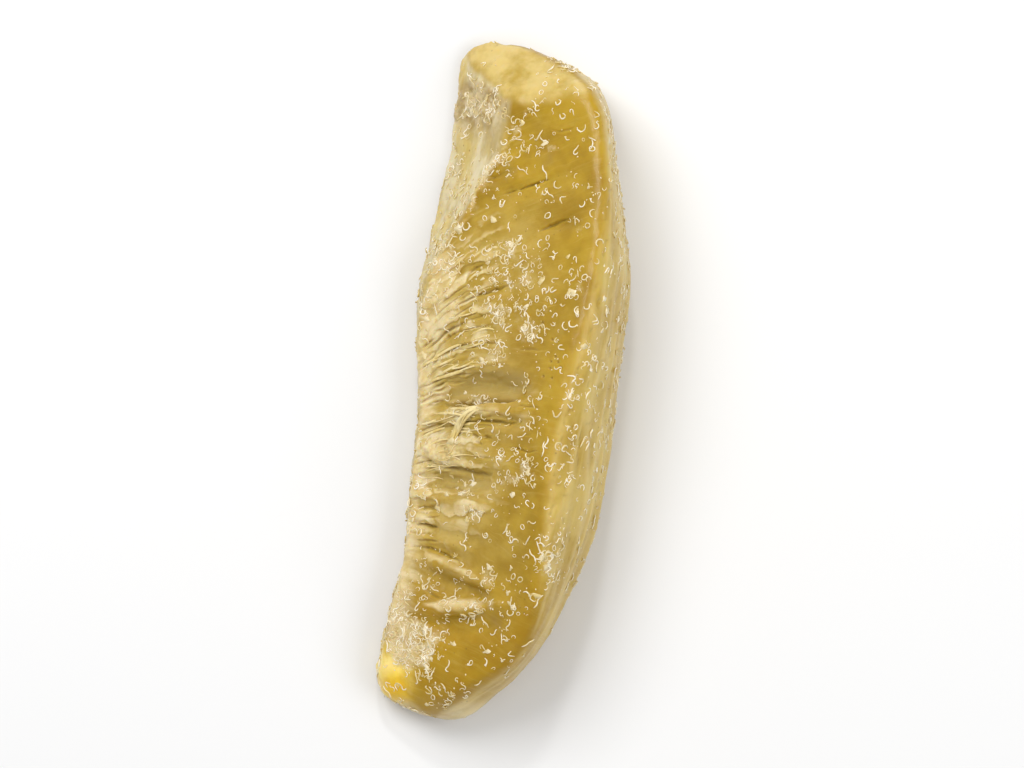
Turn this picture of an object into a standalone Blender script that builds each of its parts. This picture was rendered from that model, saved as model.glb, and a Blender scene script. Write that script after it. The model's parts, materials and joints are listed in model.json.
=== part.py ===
"""A wedge of roasted breadfruit, peeled and cored, lying on one of its two knife-cut faces.

The fruit is cut lengthwise, so the wedge is one piece of flesh with these surfaces: the cut face that it
lies on, the sloping cut face on top, the peeled rind side, the narrow strip where the core was pared away,
and the two ends. The flesh is torn into slits and folds between its fibres, which run from the core to the
rind. Metres, +Z up. +Y runs along the core from the blossom end to the stem end, and +X from core to rind.
"""

import bpy
import math
import random

import numpy as np
from mathutils import Vector, noise

MM = 0.001

# One row for each slice that follows the fibres from the core to the rind, blossom end first, in
# millimetres: the core side's x and y, the rind side's x and y, the height of the rim, where the top cut
# meets the rind, and of the core edge, where the top cut meets the pared strip. The two shares say how far
# along the slice, from core to rind, that rim and that edge stand.
SLICES = (
    (-30.5, -86.0, 2.0, -94.0, 15.0, 10.0, 0.64, 0.08),
    (-26.5, -77.0, 6.5, -84.5, 23.0, 12.0, 0.76, 0.06),
    (-25.0, -70.0, 12.5, -77.5, 29.0, 12.5, 0.85, 0.04),
    (-24.0, -61.0, 18.0, -68.0, 34.0, 12.5, 0.88, 0.03),
    (-22.5, -50.0, 23.0, -55.0, 39.0, 12.0, 0.83, 0.03),
    (-22.5, -37.0, 28.0, -39.0, 42.5, 12.0, 0.73, 0.03),
    (-22.8, -24.0, 30.0, -22.0, 44.5, 12.0, 0.69, 0.03),
    (-23.2, -11.0, 30.0, -4.5, 45.5, 12.0, 0.71, 0.03),
    (-25.2, 2.0, 30.0, 13.0, 45.5, 12.5, 0.77, 0.03),
    (-27.0, 14.5, 29.0, 30.5, 44.5, 13.5, 0.83, 0.04),
    (-27.3, 28.0, 25.5, 47.0, 42.5, 15.5, 0.90, 0.10),
    (-26.5, 41.5, 21.5, 61.0, 39.5, 19.5, 0.94, 0.25),
    (-25.3, 54.5, 18.5, 72.0, 36.0, 23.0, 0.95, 0.38),
    (-25.0, 68.5, 15.5, 78.5, 34.0, 24.0, 0.92, 0.42),
    (-25.7, 80.0, 12.0, 82.0, 30.0, 22.0, 0.86, 0.41),
    (-26.0, 91.5, 7.0, 86.0, 24.0, 17.0, 0.80, 0.36),
)
CORE_XY = slice(0, 2)
RIND_XY = slice(2, 4)
RIM_HIGH, EDGE_HIGH, RIM_SHARE, EDGE_SHARE = 4, 5, 6, 7

# The rounded ends: how much of the wedge's length each takes, where along the slice its tip is, and how
# blunt it is.
BLOSSOM_END_MM, BLOSSOM_TIP_SHARE = 13.0, 0.55
STEM_END_MM, STEM_TIP_SHARE = 10.0, 0.42
END_TIP_HIGH = 0.45
END_POWER = 2.3
# The slanting knife cut across the stem end: a point on it, the way it faces, how softly it meets the
# other faces, and the height that it never goes below.
STEM_CUT_AT = np.array([-10.9, 71.0, 24.5])
STEM_CUT_FACING = np.array([-0.42, 0.61, 0.67])
STEM_CUT_SOFT_MM, STEM_CUT_LOWEST_MM = 0.8, 4.0

# How many rings there are along the wedge, how much closer together they are at the ends, and how many
# points each side of a ring has.
RINGS = 128
END_CROWDING = 0.45
BOTTOM_POINTS, RIND_POINTS, TOP_POINTS, STRIP_POINTS = 9, 12, 15, 6
FIRST_TOP = BOTTOM_POINTS + RIND_POINTS
FIRST_STRIP = FIRST_TOP + TOP_POINTS
RING_POINTS = FIRST_STRIP + STRIP_POINTS
SPLINE_STEPS = 24

# How far from each corner a ring starts to round: the flesh is softer at the core than at the rim.
LOW_CORNER_MM, RIM_CORNER_MM, EDGE_CORNER_MM = 3.4, 2.6, 2.0
LOW_CORNER_TUCK_MM = 2.2
# The rind side between the rim and the lower corner, as shares of its width and height: the long flats
# left by peeling.
PEELED_FLATS = ((0.34, 0.90), (0.66, 0.72), (0.90, 0.46), (1.00, 0.24))

# Strokes on the top face, each as its half width, how far it stands out, and its points in plan: slits and
# hollows torn between the fibres are negative, and the folds of flesh beside them positive.
TOP_STROKES = (
    (1.7, -1.5, ((-5.3, 48.5), (-0.4, 50.5), (4.5, 53.2))),
    (1.7, -1.4, ((4.7, 39.9), (11.6, 43.2))),
    (1.9, -1.8, ((-15.0, 17.9), (-9.9, 20.9), (-3.1, 24.9))),
    (1.9, -1.7, ((-22.7, 4.2), (-18.5, 9.5), (-13.4, 12.9))),
    (1.9, -1.5, ((-21.0, -1.0), (-18.0, 2.9), (-13.0, 7.4))),
    (1.7, -1.0, ((-11.0, 10.4), (-3.0, 12.8))),
    (4.4, -2.8, ((-18.3, -7.6), (-13.3, -4.4), (-5.3, -2.2), (3.0, -2.2))),
    (2.2, 0.9, ((-19.5, -12.5), (-8.0, -8.3), (4.0, -7.8))),
    (1.9, -1.6, ((-5.2, -11.4), (5.5, -10.6))),
    (1.8, -1.3, ((-18.5, -15.2), (-12.1, -14.0))),
    (1.8, -1.1, ((-6.0, -15.4), (10.8, -17.4))),
    (3.4, 1.2, ((-18.5, -20.5), (-12.0, -20.5))),
    (4.6, -1.8, ((-16.6, -28.2), (-7.9, -26.8), (-0.4, -26.0))),
    (1.8, -1.5, ((-19.5, -36.0), (-12.7, -35.4))),
    (1.8, -1.5, ((-19.5, -41.1), (-13.0, -40.6))),
    (1.8, -1.6, ((-18.5, -46.4), (-13.6, -46.7), (-9.3, -47.9), (-4.9, -49.6))),
    (2.8, 1.3, ((-14.4, -50.0), (-7.8, -50.6), (-1.3, -52.6), (3.2, -54.8))),
    (2.8, -1.2, ((-11.5, -56.0), (2.9, -58.2))),
    (2.8, 1.3, ((-15.0, -63.2), (-3.6, -60.9), (5.7, -58.6))),
    (3.6, -1.4, ((-8.4, -67.2), (4.2, -64.5))),
)

# Torn slits between the fibres: narrow grooves that start at the core and die out towards the rind.
SLIT_SEED = 11
TOP_SLITS, LOW_SLITS = 30, 22
SLIT_END_GAP_MM = 9.0
SLIT_HALF_WIDTH_MM = 1.7
SLIT_DEEP_MM, SLIT_SHALLOW_MM = 1.3, 0.4
SLIT_SHORT_SHARE, SLIT_LONG_SHARE = 0.22, 0.68
SLIT_DRIFT_MM = 2.0
SLIT_FADE_SHARE = 0.12
# Low rounded ridges where the fibres stand between the slits.
FIBRE_RIDGE_MM, FIBRE_PITCH_MM = 0.40, 3.3
FIBRE_REACH_SHARE, FIBRE_FADE_SHARE = 0.62, 0.30
# The ragged strip and the gentle unevenness of the whole wedge.
RAGGED_MM, RAGGED_SIZE_MM = 1.1, 5.0
UNEVEN_MM, UNEVEN_SIZE_MM = 0.6, 22.0

FLESH_COLOUR = (0.50, 0.32, 0.05, 1.0)
FLESH_ROUGHNESS = 0.42


def clear_scene():
    for obj in list(bpy.data.objects):
        bpy.data.objects.remove(obj)


def smooth_step(value):
    share = np.clip(value, 0.0, 1.0)
    return share * share * (3.0 - 2.0 * share)


def round_off(share):
    """How wide a rounded end is at this share of its length from the tip."""
    return (1 - (1 - np.clip(share, 0.0, 1.0)) ** END_POWER) ** (1 / END_POWER)


def through(rows, at):
    """The rows read at fractional places, on a Catmull-Rom curve that passes through each of them."""
    last = len(rows) - 1
    start = np.clip(np.floor(at).astype(int), 0, last - 1)
    part = (at - start)[:, None]
    here = rows[start]
    there = rows[start + 1]
    before = np.where((start > 0)[:, None], rows[np.maximum(start - 1, 0)], 2 * here - there)
    after = np.where((start < last - 1)[:, None], rows[np.minimum(start + 2, last)], 2 * there - here)
    slope_here = (there - before) / 2
    slope_there = (after - here) / 2
    rise = there - here
    return (
        here
        + slope_here * part
        + (3 * rise - 2 * slope_here - slope_there) * part**2
        + (slope_here + slope_there - 2 * rise) * part**3
    )


def closed_spline(points):
    """A closed cubic B-spline round the control points, SPLINE_STEPS places for each of them."""
    part = (np.arange(SPLINE_STEPS) / SPLINE_STEPS)[:, None]
    weights = (
        (1 - part) ** 3 / 6,
        (3 * part**3 - 6 * part**2 + 4) / 6,
        (-3 * part**3 + 3 * part**2 + 3 * part + 1) / 6,
        part**3 / 6,
    )
    count = len(points)
    stretches = [
        sum(weight * points[(k + step - 1) % count] for step, weight in enumerate(weights))
        for k in range(count)
    ]
    return np.concatenate(stretches)


def corner(before, at, after, soft):
    """Three control points that round a corner, starting soft millimetres from it on each side."""
    back = (before - at) / np.linalg.norm(before - at)
    ahead = (after - at) / np.linalg.norm(after - at)
    return [at + back * soft, at, at + ahead * soft]


def evenly(line, count):
    """That many points at even distances along the line, its first point included and its last one not."""
    lengths = np.linalg.norm(np.diff(line, axis=0), axis=1)
    travelled = np.concatenate([[0.0], np.cumsum(lengths)])
    wanted = np.linspace(0.0, travelled[-1], count, endpoint=False)
    return np.stack([np.interp(wanted, travelled, line[:, k]) for k in (0, 1)], axis=1)


def ring_outline(row):
    """One slice seen along the wedge: distances from the core and heights, from the low core corner on."""
    width = np.linalg.norm(row[RIND_XY] - row[CORE_XY])
    low_core = np.array([LOW_CORNER_TUCK_MM / 2, 0.0])
    low_rind = np.array([width - LOW_CORNER_TUCK_MM, 0.0])
    rim = np.array([width * row[RIM_SHARE], row[RIM_HIGH]])
    edge = np.array([width * row[EDGE_SHARE], row[EDGE_HIGH]])
    overhang = width - rim[0]
    flats = [np.array([rim[0] + overhang * along, rim[1] * high]) for along, high in PEELED_FLATS]
    bottom = [low_core + (low_rind - low_core) * share for share in (0.25, 0.5, 0.75)]
    top = [rim + (edge - rim) * share for share in (0.25, 0.5, 0.75)]
    strip = [(edge + low_core) / 2]

    controls = []
    corner_at = []
    for before, at, soft, side in (
        (strip[-1], low_core, LOW_CORNER_MM, bottom),
        (bottom[-1], low_rind, LOW_CORNER_MM, flats[::-1]),
        (flats[0], rim, RIM_CORNER_MM, top),
        (top[-1], edge, EDGE_CORNER_MM, strip),
    ):
        corner_at.append((len(controls) + 1) * SPLINE_STEPS)
        controls += corner(before, at, side[0], soft) + side
    line = closed_spline(np.array(controls))
    line = np.concatenate([line, line[: corner_at[0] + 1]])
    corner_at.append(len(line) - 1)
    counts = (BOTTOM_POINTS, RIND_POINTS, TOP_POINTS, STRIP_POINTS)
    sides = [
        evenly(line[start : end + 1], count)
        for start, end, count in zip(corner_at, corner_at[1:], counts)
    ]
    return np.concatenate(sides), width


def stand_up(row, outline, width):
    """The slice's outline stood up on its line from the core to the rind."""
    along = (row[RIND_XY] - row[CORE_XY]) / width
    plan = row[CORE_XY] + outline[:, :1] * along
    return np.concatenate([plan, outline[:, 1:]], axis=1)


def tip_of(row, share):
    """The point that the rings close on at one end."""
    plan = row[CORE_XY] + (row[RIND_XY] - row[CORE_XY]) * share
    return np.array([*plan, row[RIM_HIGH] * END_TIP_HIGH])


def rounded_rings():
    """The rings from end to end, narrowed towards each tip, with each one's distance along the core."""
    even = np.linspace(0.0, 1.0, RINGS)
    at = (1 - END_CROWDING) * even + END_CROWDING * (0.5 - 0.5 * np.cos(math.pi * even))
    rows = through(np.array(SLICES), at * (len(SLICES) - 1))
    middles = (rows[:, CORE_XY] + rows[:, RIND_XY]) / 2
    steps = np.linalg.norm(np.diff(middles, axis=0), axis=1)
    along = np.concatenate([[0.0], np.cumsum(steps)])
    rings = []
    for row, done in zip(rows, along):
        outline, width = ring_outline(row)
        ring = stand_up(row, outline, width)
        for share_left, tip_share in (
            (done / BLOSSOM_END_MM, BLOSSOM_TIP_SHARE),
            ((along[-1] - done) / STEM_END_MM, STEM_TIP_SHARE),
        ):
            heart = tip_of(row, tip_share)
            ring = heart + (ring - heart) * round_off(share_left)
        rings.append(ring)
    return np.array(rings[1:-1]), along[1:-1], rings[0][0], rings[-1][0]


def cut_stem_end(rings):
    """Whatever stands above the slanting cut comes straight down to it."""
    above = (rings - STEM_CUT_AT) @ STEM_CUT_FACING / STEM_CUT_FACING[2]
    high = rings[..., 2]
    cut = high - STEM_CUT_SOFT_MM * np.logaddexp(0.0, above / STEM_CUT_SOFT_MM)
    pared = rings.copy()
    pared[..., 2] = np.maximum(cut, np.minimum(high, STEM_CUT_LOWEST_MM))
    return pared


def ring_normals(rings):
    """Outward directions at every point, from the neighbours along the ring and along the wedge."""
    round_it = np.roll(rings, -1, axis=1) - np.roll(rings, 1, axis=1)
    lengthwise = np.gradient(rings, axis=0)
    normals = np.cross(lengthwise, round_it)
    return normals / np.linalg.norm(normals, axis=2, keepdims=True)


def slit_set(count, length, rng):
    """Slits as (place along the core, half width, reach across the face, depth, drift towards the stem)."""
    slits = []
    run = length - 2 * SLIT_END_GAP_MM
    for k in range(count):
        place = SLIT_END_GAP_MM + run * (k + rng.uniform(0.15, 0.85)) / count
        reach = rng.uniform(SLIT_SHORT_SHARE, SLIT_LONG_SHARE)
        deep = rng.uniform(SLIT_SHALLOW_MM, SLIT_DEEP_MM)
        drift = rng.uniform(-SLIT_DRIFT_MM, SLIT_DRIFT_MM)
        slits.append((place, SLIT_HALF_WIDTH_MM, reach, deep, drift))
    return slits


def slit_depth(slits, along, share):
    """How deep the slits cut at each ring, at this share of the way from the core to the rind."""
    depth = np.zeros_like(along)
    for place, half_width, reach, deep, drift in slits:
        off = np.abs(along - place - drift * share) / half_width
        fade = smooth_step((reach - share) / SLIT_FADE_SHARE)
        depth = np.maximum(depth, deep * fade * np.clip(1 - off, 0, 1))
    return depth


def stroke_height(points):
    """How far the strokes raise the top face at these points, or sink it where that is negative."""
    height = np.zeros(len(points))
    for half_width, stands_out, line in TOP_STROKES:
        off = np.full(len(points), np.inf)
        for start, end in zip(np.array(line), np.array(line[1:])):
            run = end - start
            share = np.clip((points - start) @ run / (run @ run), 0.0, 1.0)[:, None]
            off = np.minimum(off, np.linalg.norm(points - start - run * share, axis=1))
        height += stands_out * smooth_step(1 - off / half_width)
    return height


def carve_faces(rings, normals, along):
    """Cuts the slits into both cut faces, and raises the fibres between them on the top one."""
    rng = random.Random(SLIT_SEED)
    length = along[-1]
    top_slits = slit_set(TOP_SLITS, length, rng)
    low_slits = slit_set(LOW_SLITS, length, rng)
    end_fade = smooth_step(along / SLIT_END_GAP_MM) * smooth_step((length - along) / SLIT_END_GAP_MM)
    carved = rings.copy()
    for k in range(1, TOP_POINTS):
        share = 1 - k / TOP_POINTS
        wave = np.sin(2 * math.pi * along / FIBRE_PITCH_MM + 2.0 * np.sin(along / 13 + 3 * share))
        ridge = FIBRE_RIDGE_MM * wave * smooth_step((FIBRE_REACH_SHARE - share) / FIBRE_FADE_SHARE)
        strokes = stroke_height(rings[:, FIRST_TOP + k, :2])
        push = (ridge + strokes - slit_depth(top_slits, along, share)) * end_fade
        carved[:, FIRST_TOP + k] += normals[:, FIRST_TOP + k] * push[:, None]
    for k in range(1, BOTTOM_POINTS):
        carved[:, k, 2] += slit_depth(low_slits, along, k / BOTTOM_POINTS) * end_fade
    return carved


def roughen(rings, normals):
    """Tears the pared strip, and makes every surface but the resting one gently uneven."""
    rough = rings.copy()
    for ring, directions, out in zip(rings, normals, rough):
        for k, (point, direction) in enumerate(zip(ring, directions)):
            if point[2] < LOW_CORNER_MM and k <= BOTTOM_POINTS:
                continue
            push = UNEVEN_MM * noise.noise(Vector(point) / UNEVEN_SIZE_MM)
            if k > FIRST_STRIP:
                push += RAGGED_MM * noise.noise(Vector(point) / RAGGED_SIZE_MM)
            out[k] += direction * push
    return rough


def wedge_mesh():
    rings, along, blossom_tip, stem_tip = rounded_rings()
    rings = cut_stem_end(rings)
    normals = ring_normals(rings)
    rings = carve_faces(roughen(rings, normals), normals, along)
    points = np.concatenate([rings.reshape(-1, 3), [blossom_tip, stem_tip]])
    middle = (points.min(axis=0) + points.max(axis=0)) / 2
    points -= (middle[0], middle[1], points[:, 2].min())

    faces = []
    for r in range(len(rings) - 1):
        here, there = r * RING_POINTS, (r + 1) * RING_POINTS
        for k in range(RING_POINTS):
            after = (k + 1) % RING_POINTS
            faces.append((here + k, there + k, there + after, here + after))
    last_ring = (len(rings) - 1) * RING_POINTS
    blossom_at = len(rings) * RING_POINTS
    for k in range(RING_POINTS):
        after = (k + 1) % RING_POINTS
        faces.append((blossom_at, k, after))
        faces.append((blossom_at + 1, last_ring + after, last_ring + k))
    mesh = bpy.data.meshes.new("breadfruit_wedge")
    mesh.from_pydata([tuple(point * MM) for point in points], [], faces)
    return mesh


def flesh_material():
    material = bpy.data.materials.new("roasted_flesh")
    material.use_nodes = True
    shader = material.node_tree.nodes["Principled BSDF"]
    shader.inputs["Base Color"].default_value = FLESH_COLOUR
    shader.inputs["Roughness"].default_value = FLESH_ROUGHNESS
    shader.inputs["Metallic"].default_value = 0.0
    return material


def build():
    clear_scene()
    collection = bpy.data.collections.new("roasted_breadfruit_wedge")
    bpy.context.scene.collection.children.link(collection)
    mesh = wedge_mesh()
    mesh.materials.append(flesh_material())
    mesh.shade_smooth()
    wedge = bpy.data.objects.new("breadfruit_wedge", mesh)
    collection.objects.link(wedge)


build()
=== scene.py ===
"""The looks of a wedge of roasted breadfruit, frozen after roasting: its flesh, loose fibres and frost.

Metres and +Z up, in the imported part's frame: +Y from the blossom end to the stem end, +X from core to rind.
Lengths whose names end in MM are millimetres.
"""
import itertools
import json
import math

import bmesh
import bpy
import numpy as np
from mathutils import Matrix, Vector
from mathutils.bvhtree import BVHTree

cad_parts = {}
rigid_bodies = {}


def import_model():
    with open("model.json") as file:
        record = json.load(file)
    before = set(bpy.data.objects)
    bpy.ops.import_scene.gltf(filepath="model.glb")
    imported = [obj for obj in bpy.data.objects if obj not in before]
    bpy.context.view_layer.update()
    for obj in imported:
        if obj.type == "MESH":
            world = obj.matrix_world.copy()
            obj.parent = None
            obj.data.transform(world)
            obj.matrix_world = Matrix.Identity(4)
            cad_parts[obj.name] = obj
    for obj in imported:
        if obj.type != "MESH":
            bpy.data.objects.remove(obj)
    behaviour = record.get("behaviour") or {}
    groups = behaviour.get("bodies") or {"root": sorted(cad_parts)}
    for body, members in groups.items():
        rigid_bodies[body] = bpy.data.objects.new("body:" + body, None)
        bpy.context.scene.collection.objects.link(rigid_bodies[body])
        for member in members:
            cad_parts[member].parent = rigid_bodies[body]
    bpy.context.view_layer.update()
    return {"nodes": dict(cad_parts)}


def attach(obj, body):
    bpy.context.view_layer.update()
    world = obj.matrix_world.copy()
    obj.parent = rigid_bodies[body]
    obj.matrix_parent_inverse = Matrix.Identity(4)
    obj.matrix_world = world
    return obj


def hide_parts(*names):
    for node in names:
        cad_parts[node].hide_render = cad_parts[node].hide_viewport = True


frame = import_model()

# The table, the light and the camera.
# The wedge lies on a plain pale table in a bright room, under a large soft light at its upper left, a weaker
# one at its right and a small bright one that gives the ice its glints. It is seen from straight above.
MM = 0.001
TABLE_COLOUR = (0.86, 0.86, 0.86, 1.0)
TABLE_SIZE = 6.0
TABLE_BELOW = 0.2 * MM
ROOM_BRIGHTNESS = 0.46
CAMERA_TURN = math.radians(7.1)
LENS = 250.0
# What the picture spans, and how far above the table it spans that much.
PICTURE_HIGH, PICTURE_LEVEL = 201 * MM, 22 * MM
PICTURE_SHAPE = 1024 / 768
LIGHTS = (
    # where it hangs, how wide it is, and its power
    ((-0.45, 0.45, 0.85), 0.50, 6.0),
    ((0.70, -0.05, 0.80), 0.70, 3.6),
    ((-0.12, 0.75, 0.80), 0.10, 1.9),
)


def in_scene(name, data):
    """A new object in the scene."""
    thing = bpy.data.objects.new(name, data)
    bpy.context.scene.collection.objects.link(thing)
    return thing


def node(tree, kind, sockets=(), **settings):
    """A new node, with its sockets filled, or wired to an output or to the first output of a node."""
    made = tree.nodes.new(kind)
    for name, value in settings.items():
        setattr(made, name, value)
    for key, value in dict(sockets).items():
        if isinstance(value, bpy.types.Node):
            value = value.outputs[0]
        if isinstance(value, bpy.types.NodeSocket):
            tree.links.new(value, made.inputs[key])
        else:
            made.inputs[key].default_value = value
    return made


def new_material(name):
    """A material with nothing in it yet, and its tree."""
    material = bpy.data.materials.new(name)
    material.use_nodes = True
    material.node_tree.nodes.clear()
    return material, material.node_tree


def show_surface(tree, sockets):
    shader = node(tree, "ShaderNodeBsdfPrincipled", sockets)
    node(tree, "ShaderNodeOutputMaterial", {"Surface": shader})


def lay_table():
    half = TABLE_SIZE / 2
    mesh = bpy.data.meshes.new("table")
    corners = [(x * half, y * half, -TABLE_BELOW) for x, y in ((-1, -1), (1, -1), (1, 1), (-1, 1))]
    mesh.from_pydata(corners, [], [(0, 1, 2, 3)])
    material, tree = new_material("table_top")
    show_surface(tree, {"Base Color": TABLE_COLOUR, "Roughness": 0.7})
    mesh.materials.append(material)
    in_scene("table", mesh)


def hang_lights():
    for number, (place, width, power) in enumerate(LIGHTS):
        lamp = bpy.data.lights.new(f"light_{number}", "AREA")
        lamp.size = width
        lamp.energy = power
        light = in_scene(lamp.name, lamp)
        light.location = place
        light.rotation_euler = (-Vector(place)).to_track_quat("-Z", "Y").to_euler()
    room = bpy.data.worlds.new("room")
    room.use_nodes = True
    glow = room.node_tree.nodes["Background"].inputs
    glow["Color"].default_value = (1.0, 1.0, 1.0, 1.0)
    glow["Strength"].default_value = ROOM_BRIGHTNESS
    bpy.context.scene.world = room
    bpy.context.scene.view_settings.view_transform = "Standard"


def set_up_camera():
    lens = bpy.data.cameras.new("camera")
    lens.lens = LENS
    half_angle = math.atan(lens.sensor_width / 2 / lens.lens)
    height = PICTURE_HIGH * PICTURE_SHAPE / 2 / math.tan(half_angle) + PICTURE_LEVEL
    camera = in_scene("camera", lens)
    camera.location = (0.0, 0.0, height)
    camera.rotation_euler = (0.0, 0.0, CAMERA_TURN)
    bpy.context.scene.camera = camera


lay_table()
hang_lights()
set_up_camera()

# The wedge of flesh.
# One piece of ripe breadfruit, roasted whole, peeled, and cut lengthwise with a knife. The flesh is golden,
# moist and slightly translucent. Its fibres run from the core to the rind, and have torn apart in slits and
# folds near the core, while the flesh towards the rind stays close and smooth.
MESH_STEP_MM = 1.2

# The rim, where the upper cut meets the rind, and the edge, where it meets the pared core strip, as y and x.
RIM_MM = (
    (-90.2, -9.4), (-87.4, -6.8), (-82.5, -1.0), (-74.5, 8.0), (-66.3, 12.9), (-53.3, 14.0), (-37.6, 13.0),
    (-21.7, 12.1), (-5.5, 13.1), (11.4, 15.8), (28.7, 18.0), (46.0, 18.7), (60.7, 17.1), (72.0, 14.8),
    (78.6, 10.8), (86, 4),
)
EDGE_MM = (
    (-86.0, -27.5), (-76.5, -26.0), (-60.3, -24.3), (-49.2, -22.7), (-23.0, -22.7), (-9.9, -23.1),
    (3.3, -25.1), (16.1, -26.3), (30.8, -23.5), (47.3, -16.0), (62.1, -10.2), (73.6, -9.5), (81.7, -11.7),
)

# The small slanting cut at the stem end: a point on it, and the way that it faces.
STEM_CUT_AT_MM = np.array([-12.4, 71.9, 24.5])
STEM_CUT_FACING = np.array([-0.42, 0.61, 0.67])

# The border between the cut face and the rind at the blossom end: a place on it, and how it slopes.
BLOSSOM_RIM_MM, BLOSSOM_RIM_SLOPE = (-16.9, -86.3), 0.56

# How far to either side of a cut's edge the flesh is rounded, and how many times each rounding is gone over.
ROUNDED_MM, ROUNDS = 4.0, 24

# How the fibres run: the y where one leaves the core, how steeply it climbs towards the rind, and how much
# it arches up first.
FIBRE_RUNS = (
    (-90, -0.30, 0.30), (-60, -0.40, 0.35), (-46, -0.40, 0.45), (-32, -0.08, 0.90), (-18, -0.03, 1.00),
    (-10, 0.05, 1.00), (2, 0.20, 1.00), (10, 0.42, 1.00), (31, 0.45, 0.90), (60, 0.40, 0.50),
    (85, 0.20, 0.30),
)
CORE_X_MM = -25.0
ARCH_MM = 8.0

# Each tear's half width, its depth, and the places that it runs through in plan.
TEARS_MM = (
    (0.50, 0.7, ((-4.2, 50.1), (-1.4, 52.0), (0.8, 53.2), (3.5, 54.1))),
    (0.40, 0.5, ((-8.2, 48.9), (-5.6, 49.8), (-4.4, 50.5))),
    (0.50, 0.7, ((2.1, 40.5), (5.0, 42.2), (7.4, 43.6), (9.9, 44.7))),
    (0.65, 0.4, ((-6.0, 70.0), (-4.3, 71.1), (-2.9, 72.2))),
    (0.45, 0.3, ((1.6, 67.2), (4.6, 66.9), (8.0, 68.5))),
    (0.55, 0.8, ((-17.6, 17.3), (-14.2, 20.4), (-11.8, 21.8), (-3.9, 25.5))),
    (0.50, 0.5, ((-15.6, 25.2), (-15.0, 26.9), (-13.2, 28.9), (-10.8, 30.5))),
    (0.65, 0.8, ((-23.5, 6.4), (-20.2, 9.8), (-17.4, 12.2), (-14.2, 14.6))),
    (0.45, 0.5, ((-19.3, 8.6), (-17.2, 10.9), (-13.3, 12.7), (-7.3, 14.8))),
    (0.55, 0.6, ((-24.6, 0.6), (-22.5, 2.9), (-20.8, 6.3))),
    (0.55, 0.7, ((-21.3, 2.0), (-19.2, 5.5), (-15.3, 8.0), (-10.8, 9.6))),
    (0.60, 0.7, ((-23.8, -3.6), (-20.8, -2.1), (-17.0, 0.5), (-9.0, 3.3))),
    (0.55, 0.6, ((-22.0, -5.4), (-19.2, -2.9), (-16.2, -1.5))),
    (0.45, 0.4, ((0.8, 9.0), (3.0, 9.4), (6.0, 9.1))),
    (1.00, 0.9, ((-17.2, -7.6), (-11.3, -6.2), (-5.0, -4.6), (2.0, -3.4))),
    (0.45, 0.5, ((2.2, -5.6), (5.4, -5.2), (8.2, -5.6))),
    (0.55, 1.0, ((-12.5, -12.6), (-9.6, -11.1), (-2.4, -10.2), (2.8, -10.1))),
    (0.90, 0.6, ((-18.2, -12.8), (-15.8, -13.4))),
    (0.55, 0.7, ((-8.8, -14.5), (-6.6, -15.0))),
    (0.55, 0.6, ((-5.7, -14.8), (-3.4, -14.8))),
    (0.45, 0.6, ((-7.9, -16.2), (-5.3, -16.4))),
    (0.40, 0.6, ((0.5, -16.1), (3.6, -16.7), (9.3, -16.5))),
    (0.35, 0.4, ((3.9, -12.4), (6.3, -12.6))),
    (1.00, 0.8, ((-20.4, -25.4), (-16.4, -23.9), (-12.2, -23.8), (-2.0, -24.2))),
    (0.45, 0.3, ((-18.2, -30.0), (-13.1, -28.9), (-8.9, -28.9), (-5.3, -29.2))),
    (0.55, 0.6, ((-20.9, -35.4), (-18.0, -34.9), (-15.0, -35.2))),
    (0.45, 0.4, ((-18.6, -37.7), (-14.4, -36.9))),
    (0.65, 1.0, ((-20.6, -40.1), (-17.5, -39.7), (-14.5, -40.0))),
    (0.40, 0.4, ((-19.3, -41.9), (-15.7, -41.6))),
    (0.55, 0.6, ((-19.8, -44.0), (-14.2, -43.4))),
    (0.50, 0.6, ((-21.5, -46.1), (-16.2, -45.6), (-12.0, -46.5), (-6.6, -48.4))),
    (0.55, 0.5, ((-15.9, -56.4), (-11.8, -58.2))),
)

# Each fold's half width, how far it stands out or sinks in, and the places that it runs through in plan.
FOLDS_MM = (
    (1.0, 0.5, ((-16.8, 0.4), (-12.0, 2.9), (-5.5, 4.8), (1.0, 4.6))),
    (0.7, 0.6, ((-23.6, -5.9), (-20.2, -3.9), (-16.4, -2.2))),
    (0.7, 0.6, ((-23.9, -7.3), (-20.6, -5.6), (-16.4, -3.9))),
    (0.7, 0.5, ((-23.6, -8.8), (-20.4, -7.4), (-17.0, -5.6))),
    (1.5, 0.6, ((-17.5, -10.2), (-10.0, -8.1), (1.5, -7.6))),
    (1.1, 0.8, ((-8.0, -7.6), (-10.8, -9.6), (-12.5, -12.6), (-14.8, -18.4))),
    (2.2, 0.7, ((-21.5, -20.4), (-16.5, -20.8), (-12.0, -20.6))),
    (4.0, -0.9, ((-17.5, -27.6), (-9.0, -26.6), (-2.0, -26.2))),
    (2.8, 0.6, ((-20.4, -48.7), (-13.3, -48.3), (-8.0, -49.5), (0.4, -52.2))),
    (2.0, -0.9, ((-16.6, -51.2), (-10.1, -52.9), (-2.0, -55.0), (0.7, -55.8))),
    (2.7, 0.65, ((-20.4, -62.5), (-11.8, -60.0), (-4.2, -58.5), (7.5, -56.0))),
    (1.8, -0.5, ((-21.5, -76.5), (-18.6, -80.5), (-16.8, -85.0))),
    (3.0, -0.5, ((-4.5, 61.5), (-7.5, 55.5), (-11.0, 49.0))),
    (2.2, -0.8, ((-11.4, -63.4), (-5.2, -63.0), (0.6, -60.4))),
    (1.2, 0.7, ((-6.5, 67.7), (-9.9, 61.0), (-12.5, 56.0), (-14.9, 48.5), (-19.9, 36.8))),
)

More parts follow.
